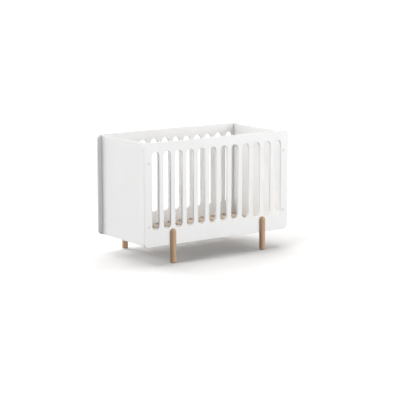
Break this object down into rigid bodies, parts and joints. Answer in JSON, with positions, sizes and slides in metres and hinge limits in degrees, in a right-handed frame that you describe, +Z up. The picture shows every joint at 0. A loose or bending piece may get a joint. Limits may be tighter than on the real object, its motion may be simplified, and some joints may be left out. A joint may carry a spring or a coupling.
{
  "type": "baby crib",
  "caption": "White baby crib with slotted long sides, plain inset ends, round wooden legs lapped onto the sides and a slatted wooden base whose height can be changed.",
  "frame": {"origin": "on the floor, under the middle of the crib", "axes": "+X along the crib's length, -Y towards its front side panel, +Z up"},
  "size_m": [1.32, 0.694, 0.894],
  "materials": {
    "white_lacquer": "satin white lacquer on fibreboard",
    "leg_wood": "clear matt oil on turned hardwood",
    "base_wood": "planed, bare",
    "zinc_steel": "zinc plated",
    "brass": "turned",
    "white_plastic": "moulded, satin",
    "grey_plastic": "moulded, matt"
  },
  "bodies": {
    "frame": {"front_side_panel": "white_lacquer", "back_side_panel": "white_lacquer", "left_end_panel": "white_lacquer", "right_end_panel": "white_lacquer", "front_left_leg": "leg_wood", "front_right_leg": "leg_wood", "back_left_leg": "leg_wood", "back_right_leg": "leg_wood", "leg_glides": "grey_plastic", "leg_bolts": "zinc_steel", "leg_inserts": "brass", "frame_bolts": "zinc_steel", "barrel_nuts": "zinc_steel", "bolt_caps": "white_plastic", "wood_dowels": "base_wood", "support_inserts": "brass", "support_pins": "zinc_steel"},
    "base": {"base_front_rail": "base_wood", "base_back_rail": "base_wood", "base_left_rail": "base_wood", "base_right_rail": "base_wood", "slat_01": "base_wood", "slat_02": "base_wood", "slat_03": "base_wood", "slat_04": "base_wood", "slat_05": "base_wood", "slat_06": "base_wood", "slat_07": "base_wood", "slat_08": "base_wood", "slat_09": "base_wood", "slat_10": "base_wood", "slat_11": "base_wood", "slat_screws": "zinc_steel", "rail_screws": "zinc_steel"}
  },
  "joints": [
    {"name": "base_lift", "type": "slide", "parent": "frame", "child": "base", "axis": [0, 0, 1], "range_m": [0, 0.3]}
  ]
}
